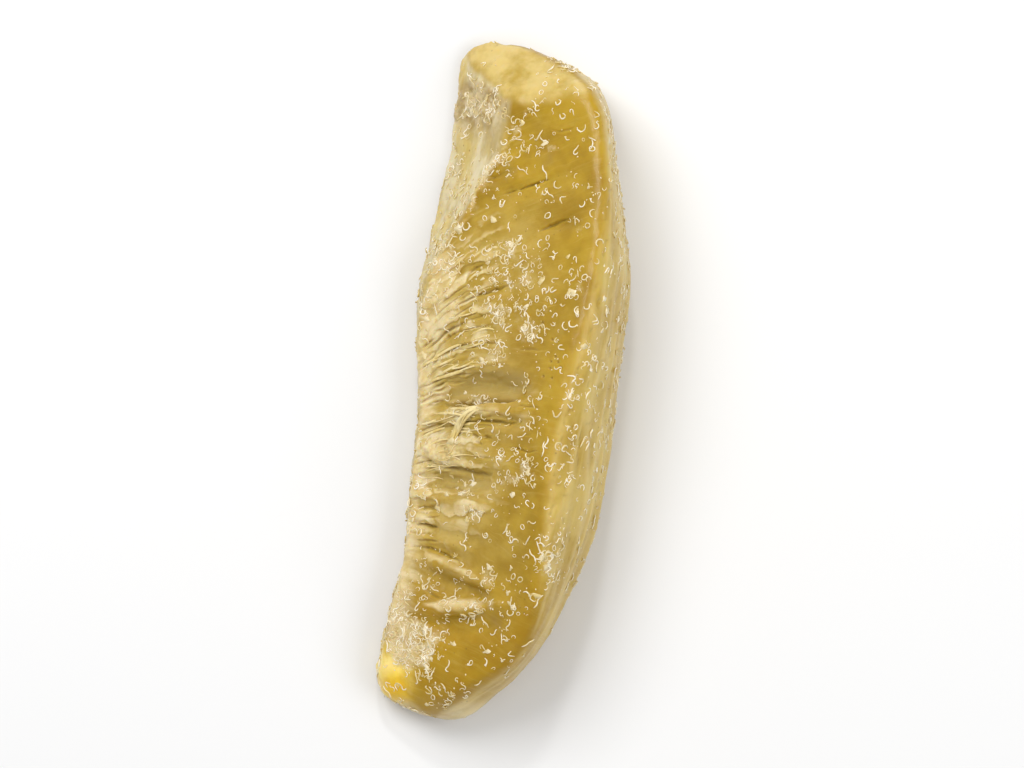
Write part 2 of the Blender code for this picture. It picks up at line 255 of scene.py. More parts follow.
# The widest tear gapes into a pocket: its slope and where it passes x = 0, how deep it is, how wide its walls
# are, the middle of the pocket, and the half lengths of the place there that no loose fibre crosses.
GAPING_SLOPE, GAPING_AT_MM = 0.22, -3.7
POCKET_DEEP_MM, UPPER_WALL_MM, LOWER_WALL_MM = 1.7, 8.5, 1.2
POCKET_AT_MM, POCKET_SLOPE, POCKET_CLEAR_MM = (-7.0, -1.4), 0.14, (10.0, 4.6)

# Small places with a look of their own: the middle, the half lengths, and how sharply each one ends.
POCKET_WALL_MM = (-7.0, 3.9, 10.5, 4.8, 2)
CRUMBLY_MM = (-16.5, -20.0, 6.5, 5.0, 1.5)
SMOOTH_HOLLOW_MM = (-9.0, -27.5, 9.0, 3.6, 2)
CRUST_MM = (-18.0, 71.5, 8.5, 7.0, 2)
TIP_MM = (-24.0, -80.5, 8.0, 9.5, 1.3)
TIP_DEEP_MM = (-21.0, -82.5, 4.5, 5.5, 1)

# Where the pinholes are in plan, and how wide and deep each one is.
PINHOLES_MM = (
    (9.1, 7.1), (11.2, 7.1), (11.9, 5.8), (9.1, 5.3), (9.1, 12.6), (5.8, 16.7), (10.2, 8.6), (7.6, 3.2),
    (10.0, 3.0),
)
PINHOLE_WIDE_MM, PINHOLE_DEEP_MM = 0.50, 0.6

# The thin sheets that the torn fibres lie in, about this wide and long, and the small slits between them.
SHEETS_MM, SHEET_SEED = (3.4, 11.0), 41
SLITS, SLIT_SEED = 50, 5
SLIT_MIDDLE_MM, SLIT_SPREAD_MM = -10.0, 25.0
SLIT_START_MM, SLIT_DRIFT_MM = (0.0, 18.0), (-1.0, 1.0)
SLIT_LONG_MM = (3.0, 10.0)
SLIT_HALF_WIDE_MM = (0.30, 0.55)
SLIT_DEEP_MM = (0.20, 0.60)

# The flats that the knife left where it pared the rind away, about this wide and long.
FLATS_MM, FLAT_SEED = (10.0, 60.0), 61

# Where the frost has settled: the middle of each patch, its half lengths and how thick it is.
FROST_PATCHES_MM = (
    (-15.0, 72.4, 7.8, 5.2, 0.65), (-8.5, 66.4, 2.6, 3.1, 0.85), (-10.6, 58.8, 2.3, 3.6, 0.75),
    (-13.4, 51.2, 2.3, 3.6, 0.80), (-14.7, 45.3, 2.3, 3.1, 0.70), (-19.0, 37.9, 2.6, 3.1, 0.70),
    (-7.4, 45.1, 4.4, 3.0, 0.80), (-5.7, 61.0, 1.8, 1.6, 0.75), (2.5, 62.0, 2.1, 1.8, 0.60),
    (8.4, 57.0, 2.6, 1.8, 0.60), (11.7, 42.8, 3.1, 3.1, 0.75), (2.1, 40.6, 2.6, 2.1, 0.50),
    (-4.7, 40.2, 3.6, 2.1, 0.50), (-20.5, 50.0, 6.0, 10.0, 0.42), (-2.5, 26.9, 11.5, 18.5, 0.58),
    (-4.5, 35.0, 3.6, 5.2, 0.70), (-1.9, 30.6, 4.0, 3.0, 0.74), (-3.1, 18.9, 7.5, 6.5, 0.68),
    (1.8, 13.3, 3.8, 4.8, 0.66), (13.7, 26.8, 3.4, 3.4, 0.58), (-5.8, 7.1, 4.8, 3.6, 0.76),
    (-24.5, 18.9, 3.1, 6.2, 0.75), (-8.0, -4.7, 4.7, 1.6, 0.75), (12.9, 8.4, 4.7, 2.1, 0.45),
    (-21.5, 29.5, 4.5, 9.0, 0.62), (-1.4, -18.0, 4.0, 3.0, 0.68), (-8.7, -22.3, 3.1, 1.8, 0.75),
    (6.4, -22.3, 3.8, 4.8, 0.60), (2.1, -25.4, 4.7, 2.6, 0.60), (-1.0, -13.3, 3.1, 2.1, 0.65),
    (-15.3, -19.7, 3.6, 3.6, 0.65), (-8.4, -29.3, 4.1, 3.1, 0.55), (-14.3, -32.2, 3.1, 2.6, 0.50),
    (-5.5, -35.3, 3.6, 3.1, 0.50), (7.9, -29.9, 4.7, 3.1, 0.30), (13.8, -39.6, 4.7, 5.7, 0.60),
    (-21.3, -27.8, 2.6, 3.1, 0.80), (-17.3, -70.4, 7.8, 7.3, 1.60), (-21.6, -65.2, 4.7, 4.7, 1.00),
    (-21.1, -56.8, 4.7, 5.7, 0.75), (-5.2, -58.5, 8.3, 1.7, 0.95), (0.1, -51.0, 3.4, 3.6, 0.62),
    (-1.6, -62.2, 4.1, 2.6, 0.50), (5.3, -63.4, 3.6, 4.7, 0.50), (4.6, -70.3, 6.2, 2.1, 0.50),
    (11.2, -55.9, 4.7, 4.7, 0.45), (15.5, -44.4, 3.1, 6.2, 0.60), (-7.5, -81.8, 6.2, 3.1, 0.50),
    (-13.8, -77.3, 4.7, 2.6, 0.65), (2.4, 84.0, 6.0, 4.0, 0.40), (-15.0, -55.0, 5.0, 6.0, 0.60),
    (-14.0, -64.0, 5.0, 4.0, 0.70), (27.0, 0.0, 9.0, 95.0, 0.14),
)
FROST_EVERYWHERE = 0.17

# Frost also follows a few edges: half its width, how thick it is, and the places that it runs through.
FROST_LINES_MM = (
    (1.1, 0.92, ((-6.5, 67.7), (-9.9, 61.0), (-12.5, 56.0), (-14.9, 48.5), (-19.9, 36.8))),
    (1.6, 0.80, ((-6.5, 67.7), (-5.0, 71.0), (-2.0, 74.5))),
    (1.3, 0.50, ((-13.0, -60.8), (-4.0, -58.6), (4.0, -57.0))),
    (1.1, 0.80, ((-1.0, -82.0), (-6.0, -85.5), (-12.0, -86.5))),
    (1.4, 0.40, ((11.5, -38.0), (13.5, -47.0), (9.5, -58.0))),
    (3.2, 0.38, ((18.5, 14.0), (16.5, -8.0), (16.0, -25.0), (15.0, -42.0))),
)


def ease(value, low, high):
    """From 0 at low to 1 at high, smoothly."""
    share = np.clip((value - low) / (high - low), 0.0, 1.0)
    return share * share * (3 - 2 * share)


def oval(x, y, place):
    """A soft oval spot: 1 in its middle, and close to 0 beyond its half lengths."""
    middle_x, middle_y, half_x, half_y, sharpness = place
    off = ((x - middle_x) / half_x) ** 2 + ((y - middle_y) / half_y) ** 2
    return np.exp(-(off**sharpness))


def draw(cells, seed):
    """A number from 0 to 1 for each cell of a grid, the same each time."""
    x, y, z = cells.T
    mixed = (x * 73856093) ^ (y * 19349663) ^ (z * 83492791) ^ (seed * 2654435761)
    mixed = ((mixed ^ (mixed >> 13)) * 1274126177) & 0xFFFFFFFF
    return ((mixed ^ (mixed >> 16)) & 0xFFFF) / 65535


def grain(places, size, seed):
    """Smooth noise from -1 to 1 at these places, with lumps about this size."""
    cells = places / size
    low = np.floor(cells).astype(np.int64)
    part = cells - low
    part = part * part * (3 - 2 * part)
    total = np.zeros(len(places))
    for corner in itertools.product((0, 1), repeat=3):
        value = 2 * draw(low + corner, seed) - 1
        total += value * np.prod(np.where(corner, part, 1 - part), axis=1)
    return total


def read(items, name, width=3):
    """One value or vector of each item of a mesh, as an array."""
    flat = np.empty(len(items) * width, dtype=np.int32 if name == "vertices" else np.float64)
    items.foreach_get(name, flat)
    return flat.reshape(-1, width)


def write_points(mesh, points):
    mesh.vertices.foreach_set("co", points.ravel())
    mesh.update()


def neighbours_middle(values, edges):
    """For each point, the mean of its neighbours' values."""
    count = np.bincount(edges.ravel(), minlength=len(values))
    sums = [
        np.bincount(edges[:, 0], values[edges[:, 1], k], len(values))
        + np.bincount(edges[:, 1], values[edges[:, 0], k], len(values))
        for k in range(values.shape[1])
    ]
    return np.stack(sums, axis=1) / count[:, None]


def relax(mesh, rounds, back=0.52, where=1.0):
    """Takes the facets off. Each round in is followed by one back out, so that the form doesn't shrink."""
    points, edges = read(mesh.vertices, "co"), read(mesh.edges, "vertices", 2)
    for step in range(rounds):
        strength = -back if step % 2 else 0.5
        points += where * strength * (neighbours_middle(points, edges) - points)
    write_points(mesh, points)


def finer(mesh, chosen):
    """Splits each side of the chosen faces in two."""
    bm = bmesh.new()
    bm.from_mesh(mesh)
    sides = {side for face, wanted in zip(bm.faces, chosen) if wanted for side in face.edges}
    bmesh.ops.subdivide_edges(bm, edges=list(sides), cuts=1, use_grid_fill=True)
    bmesh.ops.triangulate(bm, faces=[face for face in bm.faces if len(face.verts) > 4])
    bm.to_mesh(mesh)
    bm.free()
    mesh.update()


def past(line, points):
    """How far each point is, along x, past a line given as y and x."""
    ys, xs = np.array(line).T
    return points[:, 0] - np.interp(points[:, 1], ys, xs)


def fibre_line(roots, out):
    """The y of the fibres with these roots, this far out from the core."""
    at, climbs, arches = np.array(FIBRE_RUNS).T
    return (
        roots
        + np.interp(roots, at, climbs) * out
        + np.interp(roots, at, arches) * ARCH_MM * (1 - np.exp(-out / ARCH_MM))
    )


def fibre_places(points):
    """Each point's fibre, named by the y where it leaves the core, and how far out from the core it is."""
    roots = np.arange(-110.0, 110.0, 1.0)
    out = np.clip(points[:, 0] - CORE_X_MM, 0.0, 60.0)
    step = np.floor(out).astype(int)
    root = np.zeros(len(points))
    for first in np.unique(step):
        here = step == first
        near = np.interp(points[here, 1], fibre_line(roots, first), roots)
        far = np.interp(points[here, 1], fibre_line(roots, first + 1), roots)
        root[here] = near + (far - near) * (out[here] - first)
    return root, out


def torn_share(points, root, out):
    """Where the fibres have torn apart: from 0 in close flesh to 1 near the core."""
    reach = 1 - 0.90 * ease(out + 5 * grain(points, 9.0, 3), 14, 34)
    return ease(root, -64, -34) * ease(-root, -44, -10) * reach


def curve_through(places, step_mm=0.3):
    """Points along a smooth curve through these places, and each one's share of the way."""
    places = np.array(places)
    walked = np.concatenate([[0.0], np.cumsum(np.linalg.norm(np.diff(places, axis=0), axis=1))])
    share = np.linspace(0.0, 1.0, int(walked[-1] / step_mm) + 2)
    bends = [np.polyfit(walked / walked[-1], places[:, k], len(places) - 1) for k in (0, 1)]
    return np.stack([np.polyval(bend, share) for bend in bends], axis=1), share


def near_line(plan, places, reach):
    """The points within reach of a curve, how far off it each is, and how full the curve is beside it."""
    line, share = curve_through(places)
    inside = (plan > line.min(axis=0) - reach) & (plan < line.max(axis=0) + reach)
    near = np.flatnonzero(inside.all(axis=1))
    off = np.linalg.norm(plan[near, None] - line, axis=2)
    fullness = np.sqrt(4 * share * (1 - share))[off.argmin(axis=1)] if len(near) else np.zeros(0)
    return near, off.min(axis=1) if len(near) else np.zeros(0), fullness


def lip(off):
    """How far the flesh is raised beside a slit, where off counts its half widths."""
    return np.exp(-(((off - 1.5) / 0.6) ** 2))


def tear_open(plan):
    """How deep the tears and pinholes are at each point, and how much their lips are raised."""
    depth, lips = np.zeros(len(plan)), np.zeros(len(plan))
    for half_width, deep, places in TEARS_MM:
        near, off, fullness = near_line(plan, places, 3 * half_width)
        off = off / (half_width * (0.3 + 0.7 * fullness))
        depth[near] = np.maximum(depth[near], deep * fullness * np.clip(1 - off, 0, 1) ** 1.1)
        lips[near] = np.maximum(lips[near], fullness * lip(off))
    for hole in PINHOLES_MM:
        off = np.linalg.norm(plan - hole, axis=1) / PINHOLE_WIDE_MM
        depth = np.maximum(depth, PINHOLE_DEEP_MM * np.clip(1 - off, 0, 1))
    return depth, lips


def fold_up(plan):
    height = np.zeros(len(plan))
    for half_width, stands_out, places in FOLDS_MM:
        near, off, fullness = near_line(plan, places, half_width)
        height[near] += stands_out * fullness * ease(1 - off / half_width, 0, 1)
    return height


def open_pocket(x, y):
    """How far the flesh slopes down into the widest tear, and the share of its smooth wall at each point."""
    above_tear = y - (GAPING_SLOPE * x + GAPING_AT_MM)
    opens = 0.25 + 0.75 * ease(x, -20.0, -8.0)
    upper_wall = (1 - np.clip(above_tear / (UPPER_WALL_MM * opens), 0, 1)) ** 1.3
    slope = np.where(above_tear > 0, upper_wall, np.clip(1 + above_tear / LOWER_WALL_MM, 0, 1))
    dip = POCKET_DEEP_MM * slope * ease(x, -20.0, -11.0) * ease(-x, -5.0, 2.0)
    return dip, oval(x, above_tear / opens, POCKET_WALL_MM)


def laid_out(side, ahead, plots_mm, seed):
    """Covers the surface with uneven plots, this wide and long. Gives how far across its own plot each point
    is, how far in from that plot's border, and the plot's number, from 0 to 1."""
    wide, long = plots_mm
    places = np.stack([side / wide, ahead / long, np.zeros(len(side))], axis=1)
    here = np.floor(places).astype(np.int64)
    nearest, second = np.full(len(side), 9.0), np.full(len(side), 9.0)
    across, number = np.zeros(len(side)), np.zeros(len(side))
    for step in itertools.product((-1, 0, 1), (-1, 0, 1), (0,)):
        cell = here + step
        x = places[:, 0] - cell[:, 0] - draw(cell, seed)
        y = places[:, 1] - cell[:, 1] - draw(cell, seed + 1)
        off = np.hypot(x, y)
        closer = off < nearest
        second = np.where(closer, nearest, np.minimum(second, off))
        across = np.where(closer, x, across)
        number = np.where(closer, draw(cell, seed + 2), number)
        nearest = np.where(closer, off, nearest)
    return across, second - nearest, number


def small_slits(root, out):
    """How deep the lens-shaped slits are at each point, and how much their lips are raised."""
    rng = np.random.default_rng(SLIT_SEED)
    depth, lips = np.zeros(len(root)), np.zeros(len(root))
    for _ in range(SLITS):
        at = rng.normal(SLIT_MIDDLE_MM, SLIT_SPREAD_MM)
        start = rng.uniform(*SLIT_START_MM)
        long = rng.uniform(*SLIT_LONG_MM)
        wide = rng.uniform(*SLIT_HALF_WIDE_MM)
        deep = rng.uniform(*SLIT_DEEP_MM)
        drift = rng.uniform(*SLIT_DRIFT_MM)
        share = (out - start) / long
        lens = np.sqrt(np.clip(1 - (2 * share - 1) ** 2, 0.0, 1.0))
        off = np.abs(root - at - drift * share) / (wide * lens + 1e-6)
        depth = np.maximum(depth, deep * lens * np.clip(1 - off, 0.0, 1.0))
        lips = np.maximum(lips, lens * lip(off))
    return depth, lips


def frost_cover(points):
    """How thickly frost lies at each point, from 0 to 1, in patches with ragged edges."""
    cover = np.full(len(points), FROST_EVERYWHERE)
    for *patch, thick in FROST_PATCHES_MM:
        cover = np.maximum(cover, thick * oval(points[:, 0], points[:, 1], (*patch, 1.5)))
    for half_width, thick, places in FROST_LINES_MM:
        near, off, _ = near_line(points[:, :2], places, 3 * half_width)
        cover[near] = np.maximum(cover[near], thick * np.exp(-((off / half_width) ** 2)))
    ragged = 0.75 + 0.55 * grain(points, 7.0, 51) + 0.45 * grain(points, 3.0, 52)
    return np.clip(cover * ragged, 0.0, 1.0)


def keep(mesh, **looks):
    """Stores one number, or three, for each point of the mesh under each name."""
    for name, values in looks.items():
        kind, part = ("FLOAT", "value") if values.ndim == 1 else ("FLOAT_VECTOR", "vector")
        mesh.attributes.new(name, kind, "POINT").data.foreach_set(part, values.ravel())


def plain_mesh(thing):
    """What an object's modifiers make of it. The object itself goes."""
    made = bpy.data.meshes.new_from_object(thing.evaluated_get(bpy.context.evaluated_depsgraph_get()))
    bpy.data.objects.remove(thing)
    return made


def evenly_meshed(cad_node):
    """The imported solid's form as an even net of squares, finer on the cut face and finest where torn."""
    mesh = cad_node.data.copy()
    bm = bmesh.new()
    bm.from_mesh(mesh)
    bmesh.ops.remove_doubles(bm, verts=bm.verts, dist=1e-6)
    bm.to_mesh(mesh)
    bm.free()
    rough = in_scene("rough_wedge", mesh)
    remesh = rough.modifiers.new("even", "REMESH")
    remesh.mode = "VOXEL"
    remesh.voxel_size = MESH_STEP_MM * MM
    even = plain_mesh(rough)

    # The rim, the stem cut, the corner at the stem and the foot are rounded further.
    relax(even, ROUNDS)
    points = read(even.vertices, "co") / MM
    facing_up = read(even.vertices, "normal")[:, 2]
    off_rim = past(RIM_MM, points) / ROUNDED_MM
    off_cut = ((points - STEM_CUT_AT_MM) @ STEM_CUT_FACING) / ROUNDED_MM
    rim = np.exp(-(off_rim**2)) * ease(facing_up, -0.5, 0.0)
    stem_cut = np.exp(-(off_cut**2)) * ease(facing_up, -0.2, 0.2)
    stem_corner = 0.9 * ease(points[:, 1], 84.0, 89.0)
    foot = 0.9 * ease(2.5 - points[:, 2], 0.0, 1.5)
    rounded = np.maximum.reduce([rim, 0.6 * stem_cut, stem_corner, foot])
    relax(even, ROUNDS, back=-0.4, where=rounded[:, None])

    # The cut face gets a finer net, and its torn part the finest.
    middles = read(even.polygons, "center") / MM
    facing_up = read(even.polygons, "normal")[:, 2] > -0.2
    finer(even, facing_up & (middles[:, 2] > 2.5) & (past(RIM_MM, middles) < 2.0))
    relax(even, 4)
    middles = read(even.polygons, "center") / MM
    facing_up = read(even.polygons, "normal")[:, 2] > 0.1
    root, out = fibre_places(middles)
    torn = (torn_share(middles, root, out) > 0.62) & (past(EDGE_MM, middles) > -1.5)
    for half_width, _, places in TEARS_MM:
        near, off, _ = near_line(middles[:, :2], places, half_width + 0.3)
        torn[near[off < half_width + 0.3]] = True
    for hole in PINHOLES_MM:
        torn |= np.linalg.norm(middles[:, :2] - hole, axis=1) < 2 * PINHOLE_WIDE_MM
    finer(even, torn & facing_up & (past(RIM_MM, middles) < 1.0))
    relax(even, 2)
    return even


def shape_flesh(mesh):
    """Tears, folds and roughens the surface, and stores what the flesh and the frost read from it."""
    points = read(mesh.vertices, "co") / MM
    normals = read(mesh.vertices, "normal")
    edges = read(mesh.edges, "vertices", 2)
    x, y, z = points.T

    def lumps(size, seed):
        return grain(points, size, seed)

    # The parts of the surface: the underside, the cut face, the rind side, the core strip and the stem cut.
    below = ease(-normals[:, 2], 0.6, 0.9)
    past_rim, past_edge = past(RIM_MM, points), past(EDGE_MM, points)
    above_cut = (points - STEM_CUT_AT_MM) @ STEM_CUT_FACING
    stem_cut = ease(2.0 - np.abs(above_cut + 0.9 * lumps(5.0, 40)), 0.0, 1.6)
    stem_cut *= ease(normals @ STEM_CUT_FACING, 0.70, 0.88)
    top = ease(past_edge, -1.0, 1.0) * ease(-past_rim, -1.8, 1.2) * ease(normals[:, 2], -0.1, 0.2)
    top *= 1 - stem_cut
    rind = ease(past_rim, -1.5, 1.5) * (1 - below)
    strip = ease(-past_edge, -1.0, 1.0) * (1 - below) * (1 - stem_cut)
    end_x, end_y = BLOSSOM_RIM_MM
    past_end = end_y - BLOSSOM_RIM_SLOPE * (x - end_x) - y + 0.8 * lumps(3.0, 47)
    end_rim = ease(past_end, -1.2, 1.2) * ease(x, -31, -24)

    # Close and torn flesh, and the few places that are crumbly, crusted or smooth.
    root, out = fibre_places(points)
    torn = torn_share(points, root, out)
    crumbly = oval(x, y, CRUMBLY_MM)
    dip, pocket = open_pocket(x, y + 0.8 * lumps(5.0, 46))
    crust = strip * oval(x, y, CRUST_MM)
    smooth = np.clip(1.3 * pocket + 0.8 * oval(x, y, SMOOTH_HOLLOW_MM), 0, 1)

    # The fibres, the sheets that they lie in, and the slits, tears and folds between them.
    swayed = root + 0.9 * lumps(7.0, 31) + 0.35 * lumps(2.4, 32)
    level = np.zeros(len(points))
    threads = np.stack([swayed, out * 0.11, level], axis=1)
    strands = 1 - 2 * np.abs(grain(threads, 1.7, 11))
    fine_strands = 1 - 2 * np.abs(grain(threads, 0.85, 12))
    folds = grain(np.stack([swayed, out * 0.2, level], axis=1), 6.5, 13)
    torn_edge = root + 1.3 * lumps(7.0, 31) + 0.8 * lumps(3.2, 34)
    torn_edge += 0.45 * lumps(1.3, 38)
    reached = out + 2.0 * lumps(4.0, 35)
    across, inside, sheet = laid_out(torn_edge, reached, SHEETS_MM, SHEET_SEED)
    loose = torn * (1 - 0.95 * smooth) * (0.35 + 0.65 * ease(lumps(15.0, 36), -0.35, 0.25))
    slit, slit_lips = small_slits(root, out)
    wander = 0.35 * np.stack([lumps(2.8, 14), lumps(2.8, 15)], axis=1)
    tear, tear_lips = tear_open(points[:, :2] + wander)
    fold = fold_up(points[:, :2] + 2 * wander)
    raised = np.maximum(slit_lips * loose, tear_lips)
    cut = np.maximum(slit * (0.05 + 0.95 * torn) * (1 - smooth), tear)

    # How far all this stands out from the cut face and the strip.
    height = loose * ease(inside, 0.0, 0.14) * (0.32 * (sheet - 0.5) - 0.48 * across)
    combed = 0.25 + 0.75 * ease(lumps(6.0, 33) + 0.5 * ease(8 - out, 0.0, 5.0), 0.0, 0.5)
    height += loose * (combed * (0.07 * strands + 0.05 * fine_strands) + 0.36 * folds)
    height += smooth * (0.20 * folds + 0.09 * strands)
    height += 0.14 * raised - cut
    crumbs = 0.75 * lumps(2.4, 16) + 0.5 * lumps(1.3, 17) + 0.3 * lumps(0.8, 27)
    height += crumbly * crumbs
    height += (1 - torn) * (0.16 * lumps(6.0, 18) + 0.04 * strands)
    waves = ease(root, 18, 32) * ease(-root, -66, -52) * ease(30 - out, 0, 12) * (1 - torn)
    height += waves * (1.35 * folds + 0.20 * strands * ease(folds, -0.1, 0.4))
    height = top * (height - dip) + (top + strip) * fold
    height += strip * (0.40 * grain(points * (1, 0.4, 1), 3.0, 19) + 0.20 * lumps(1.3, 20))
    height += crust * (0.65 * lumps(2.3, 28) + 0.35 * lumps(1.2, 29))

    # The rind side is pared in long flats that meet in low ridges. Its shallow pits fade at the blossom end.
    around = z - 0.8 * (x - 20) + 0.9 * lumps(9.0, 21) + 0.3 * lumps(2.5, 62)
    _, from_side, stroke = laid_out(around + 0.06 * y, y, FLATS_MM, FLAT_SEED)
    pared = 0.8 * np.clip(1 - from_side, 0.0, 1.0) ** 2
    pared = pared + 0.4 * (stroke - 0.5) * ease(from_side, 0.0, 0.45)
    pits = ease(0.42 - np.abs(lumps(2.6, 25)) - np.abs(lumps(2.6, 26)), 0.0, 0.35)
    pits *= 1 - 0.8 * ease(-y, 50.0, 66.0)
    pared = ease(past_rim, 0.0, 9.0) * (pared - 0.35) + 0.10 * grain(points * (1, 0.3, 1), 2.4, 22)
    height += rind * ease(z, 0.5, 5.0) * (pared - 0.24 * pits)
    height += stem_cut * (0.40 * lumps(5.0, 24) + 0.14 * lumps(1.8, 63))
    height += below * ease(z, 0.2, 0.6) * 0.1 * strands
    height += (1 - below) * 0.05 * lumps(1.1, 23)

    shaped = points + normals * height[:, None]
    shaped[:, 2] = np.maximum(shaped[:, 2], np.minimum(z, 0.05))
    write_points(mesh, shaped * MM)

    # How hollow the finished surface is at each point, for the shade in its slits.
    sunk = np.sum((neighbours_middle(shaped, edges) - shaped) * read(mesh.vertices, "normal"), axis=1)
    spacing = np.linalg.norm(shaped[edges[:, 0]] - shaped[edges[:, 1]], axis=1)
    near_by = np.bincount(edges.ravel(), np.repeat(spacing, 2)) / np.bincount(edges.ravel())
    hollow = neighbours_middle((sunk / near_by)[:, None], edges)[:, 0]

    # Where the torn flesh is pale: on raised sheets, crests, crumbs, beside the core and on the stem cut.
    film = loose * ease(0.5 * (sheet - 0.5) - across + 0.35 * lumps(3.0, 39), -0.2, 0.35)
    crest = ease(fold, 0.1, 0.75) * (0.46 + 0.5 * grain(threads, 1.7, 43) + 0.3 * lumps(3.0, 44))
    film = film * ease(inside, 0.0, 0.12) + crumbly + np.clip(crest, 0.0, 1.0)
    by_core = ease(10 - out, 0.0, 9.0) * ease(y, -76, -62) * ease(40 - y, 0, 10)
    pale = top * (film + 0.8 * by_core) + 0.75 * strip * ease(fold, 0.1, 0.6)
    pale += 0.55 * stem_cut * ease(x + 0.5 * lumps(5.0, 45), 1.0, 12.0)

    # Painted shade for the pocket's floor, darkest where it dips deepest.
    pocket_floor_shade = 0.62 * (dip / POCKET_DEEP_MM) ** 2 * (1 + 0.5 * grain(threads, 1.7, 64))
    bare = (1 - 0.4 * stem_cut) * (1 - 0.92 * rind * ease(-y, 48.0, 62.0)) * (1 - below)
    keep(
        mesh, fibre=np.stack([swayed, out, level], axis=1), rind=np.maximum(rind, end_rim * (1 - below)),
        strip=strip, stem_cut=stem_cut, crust=crust, torn=np.clip((torn + crumbly) * top, 0.0, 1.0),
        smooth=smooth * top, pale=np.clip(pale, 0.0, 1.0), tip=oval(x, y, TIP_MM) * (1 - below),
        tip_deep=oval(x, y, TIP_DEEP_MM) * (1 - below), blossom_end=ease(-y, 40.0, 68.0),
        hollow=np.clip(hollow / 0.16, -1.0, 1.0), pared_edge=rind * ease(-from_side, -0.22, 0.0),
        # deep: painted shade, darker the deeper the tears, slits, pocket floor and rind pits go.
        deep=np.clip(top * (cut / 0.8 + pocket_floor_shade) + 0.5 * pits * rind, 0.0, 1.0),
        frost=frost_cover(points) * bare * ease(z, 1.5, 5.0),
    )


def blend(share, low, high):
    """A mix of two colours. Like the functions below, it works in the tree that its first value is in."""
    low, high = ((*tone, 1.0) if isinstance(tone, tuple) else tone for tone in (low, high))
    sockets = {0: share, 6: low, 7: high}
    return node(share.id_data, "ShaderNodeMix", sockets, data_type="RGBA").outputs[2]


def share_of(value, low, high):
    """A value's place between low and high, as a share."""
    ends = {"Value": value, "From Min": low, "From Max": high}
    return node(value.id_data, "ShaderNodeMapRange", ends, interpolation_type="SMOOTHSTEP")


def times(a, b):
    return node(a.id_data, "ShaderNodeMath", {0: a, 1: b}, operation="MULTIPLY")


def plus(a, b):
    return node(a.id_data, "ShaderNodeMath", {0: a, 1: b}, operation="ADD")


def tinted(colour, share, strength, tone):
    """A colour with another one laid over it, this strongly, where the share says."""
    return blend(times(share, strength), colour, tone)


def stretched(vector, by):
    return node(vector.id_data, "ShaderNodeMapping", {"Vector": vector, "Scale": by})


def cloud(vector, scale, detail=3.0, roughness=0.5):
    ends = {"Vector": vector, "Scale": scale, "Detail": detail, "Roughness": roughness}
    return node(vector.id_data, "ShaderNodeTexNoise", ends)


def stored(tree, name, output="Fac"):
    """What the mesh stores under this name."""
    return node(tree, "ShaderNodeAttribute", attribute_name=name).outputs[output]


def new_group(name, kind, takes, gives):
    """A node group with these inputs and one output, and what it is given."""
    tree = bpy.data.node_groups.new(name, kind)
    for in_out, sockets in (("INPUT", takes), ("OUTPUT", gives)):
        for socket, holds in sockets.items():
            tree.interface.new_socket(socket, in_out=in_out, socket_type=f"NodeSocket{holds}")
    return tree, node(tree, "NodeGroupInput").outputs


def mottled_group():
    """A group that wanders between two colours, as flesh and ice do over a few millimetres."""
    takes = {"Place": "Vector", "Scale": "Float", "Deep": "Color", "Light": "Color"}
    tree, given = new_group("mottled", "ShaderNodeTree", takes, {"Colour": "Color"})
    share = share_of(cloud(given["Place"], given["Scale"], 4.0, 0.6), 0.36, 0.64)
    node(tree, "NodeGroupOutput", {"Colour": blend(share, given["Deep"], given["Light"])})
    return tree


MOTTLED = mottled_group()


def mottled(place, scale, deep, light):
    sockets = {"Place": place, "Scale": scale, "Deep": (*deep, 1.0), "Light": (*light, 1.0)}
    return node(place.id_data, "ShaderNodeGroup", sockets, node_tree=MOTTLED).outputs["Colour"]


def show_moist_surface(tree, relief, relief_mm, relief_strength, sockets):
    """Ends a material in a moist surface with a fine relief."""
    sizes = {"Height": relief, "Distance": relief_mm * MM, "Strength": relief_strength}
    show_surface(tree, {**sockets, "Normal": node(tree, "ShaderNodeBump", sizes)})


# The moist film on the flesh, and where along the wedge the nose of its blossom end turns pale.
MOIST_COAT = {"Coat Weight": 0.25, "Coat Roughness": 0.08, "Coat IOR": 1.33}
NOSE_FROM, NOSE_TO = -81.0 * MM, -88.0 * MM


